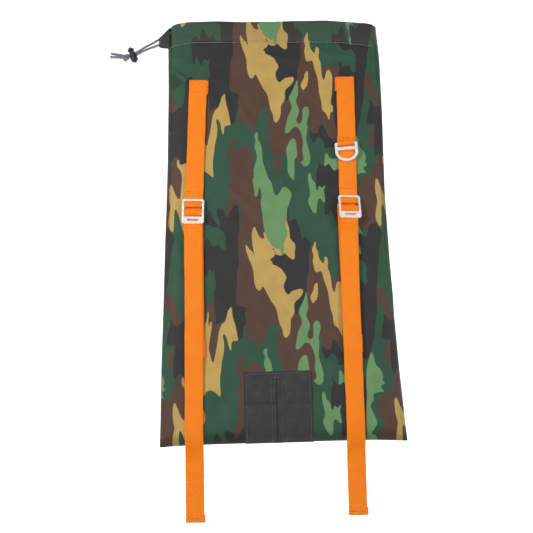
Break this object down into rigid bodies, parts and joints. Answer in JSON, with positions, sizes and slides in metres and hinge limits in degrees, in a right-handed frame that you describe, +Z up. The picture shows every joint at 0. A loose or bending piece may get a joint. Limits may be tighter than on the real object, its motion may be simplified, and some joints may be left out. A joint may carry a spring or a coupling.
{
  "type": "drawstring carry sack",
  "caption": "Flat drawstring sack of camouflage ripstop with orange webbing shoulder straps, metal sliders, a D ring, a slit patch and a sprung cord lock.",
  "frame": {"origin": "under the middle of the sack's box, on the surface that it lies on", "axes": "+X to the right seen from the front, +Y towards the open mouth, +Z up out of the front face"},
  "size_m": [0.3986, 0.7001, 0.0305],
  "materials": {
    "camo_cloth": "woven ripstop, printed in five colours, slight coating sheen",
    "black_cloth": "plain woven nylon, matt black",
    "webbing": "fine twill webbing, blaze orange",
    "thread": "grey sewing thread",
    "hardware": "white lacquer over metal, satin gloss",
    "cord": "braided polyester, grey",
    "lock_plastic": "moulded black acetal, fine matt",
    "spring_wire": "plain spring steel"
  },
  "bodies": {
    "root": {"back_panel": "camo_cloth", "front_panel": "camo_cloth", "back_hem": "camo_cloth", "front_hem": "camo_cloth", "hem_spout": "black_cloth", "slit_patch": "black_cloth", "slit_lip_left": "black_cloth", "slit_lip_right": "black_cloth", "hem_stitching": "thread", "patch_stitching": "thread", "left_top_anchor": "webbing", "right_top_anchor": "webbing", "left_anchor_stitching": "thread", "right_anchor_stitching": "thread", "left_bottom_anchor": "webbing", "right_bottom_anchor": "webbing", "left_strap_lower": "webbing", "right_strap_lower": "webbing", "drawcord_in_hem": "cord", "drawcord_end_upper": "cord", "drawcord_end_lower": "cord", "drawcord_knot": "cord"},
    "left_strap": {"left_strap_upper": "webbing", "left_strap_stitching": "thread"},
    "right_strap": {"right_strap_upper": "webbing", "right_strap_stitching": "thread", "d_ring_tab": "webbing"},
    "left_slider": {"left_slider": "hardware", "left_slider_loop": "webbing", "left_slider_wrap": "webbing"},
    "right_slider": {"right_slider": "hardware", "right_slider_loop": "webbing", "right_slider_wrap": "webbing"},
    "left_neck": {"left_tail_neck": "webbing"},
    "right_neck": {"right_tail_neck": "webbing"},
    "left_tail": {"left_strap_tail": "webbing"},
    "right_tail": {"right_strap_tail": "webbing"},
    "d_ring": {"d_ring": "hardware"},
    "cord_lock": {"cord_lock_body": "lock_plastic", "cord_lock_spring": "spring_wire"},
    "lock_plunger": {"cord_lock_plunger": "lock_plastic"}
  },
  "joints": [
    {"name": "left_strap_lift", "type": "hinge", "parent": "root", "child": "left_strap", "pos_m": [-0.10703, 0.2404, 0.015], "axis": [-0.9988, 0.0489, 0], "range_deg": [0, 30], "deforming": ["left_strap_lower"]},
    {"name": "left_slider_tilt", "type": "hinge", "parent": "left_strap", "child": "left_slider", "pos_m": [-0.11576, 0.08079, 0.0178], "axis": [-0.9994, 0.0349, 0], "range_deg": [0, 20]},
    {"name": "left_tail_droop", "type": "hinge", "parent": "left_strap", "child": "left_neck", "pos_m": [-0.1165, 0.05, 0.0178], "axis": [-0.9999, 0.0105, 0], "range_deg": [-45, 0]},
    {"name": "left_tail_swing", "type": "hinge", "parent": "left_neck", "child": "left_tail", "pos_m": [-0.11662, 0.03855, 0.0178], "axis": [-0.9999, 0.0105, 0], "range_deg": [0, 60]},
    {"name": "right_strap_lift", "type": "hinge", "parent": "root", "child": "right_strap", "pos_m": [0.10199, 0.2394, 0.015], "axis": [-0.9999, 0.014, 0], "range_deg": [0, 30], "deforming": ["right_strap_lower"]},
    {"name": "right_slider_tilt", "type": "hinge", "parent": "right_strap", "child": "right_slider", "pos_m": [0.10044, 0.07994, 0.01951], "axis": [-0.9901, 0.0173, 0.1392], "range_deg": [-12, 12]},
    {"name": "right_tail_droop", "type": "hinge", "parent": "right_strap", "child": "right_neck", "pos_m": [0.0989, 0.05, 0.0178], "axis": [-1, 0.007, 0], "range_deg": [-45, 0]},
    {"name": "right_tail_swing", "type": "hinge", "parent": "right_neck", "child": "right_tail", "pos_m": [0.09882, 0.03855, 0.0178], "axis": [-1, 0.007, 0], "range_deg": [0, 60]},
    {"name": "d_ring_swing", "type": "hinge", "parent": "right_strap", "child": "d_ring", "pos_m": [0.09934, 0.16231, 0.0192], "axis": [-0.9986, -0.0523, 0], "range_deg": [0, 110]},
    {"name": "cord_lock_slide", "type": "slide", "parent": "root", "child": "cord_lock", "axis": [0.9361, 0.3518, 0], "range_m": [0, 0.018], "deforming": ["drawcord_end_upper", "drawcord_end_lower"]},
    {"name": "lock_plunger_press", "type": "slide", "parent": "cord_lock", "child": "lock_plunger", "axis": [0.3518, -0.9361, 0], "range_m": [0, 0.0025], "stiffness_N_per_m": 800, "springref_m": -0.002, "deforming": ["cord_lock_spring"]}
  ],
  "couplings": [
    {"joint": "left_tail_droop", "follows": "left_strap_lift", "ratio": -1.47},
    {"joint": "right_tail_droop", "follows": "right_strap_lift", "ratio": -1.47}
  ]
}
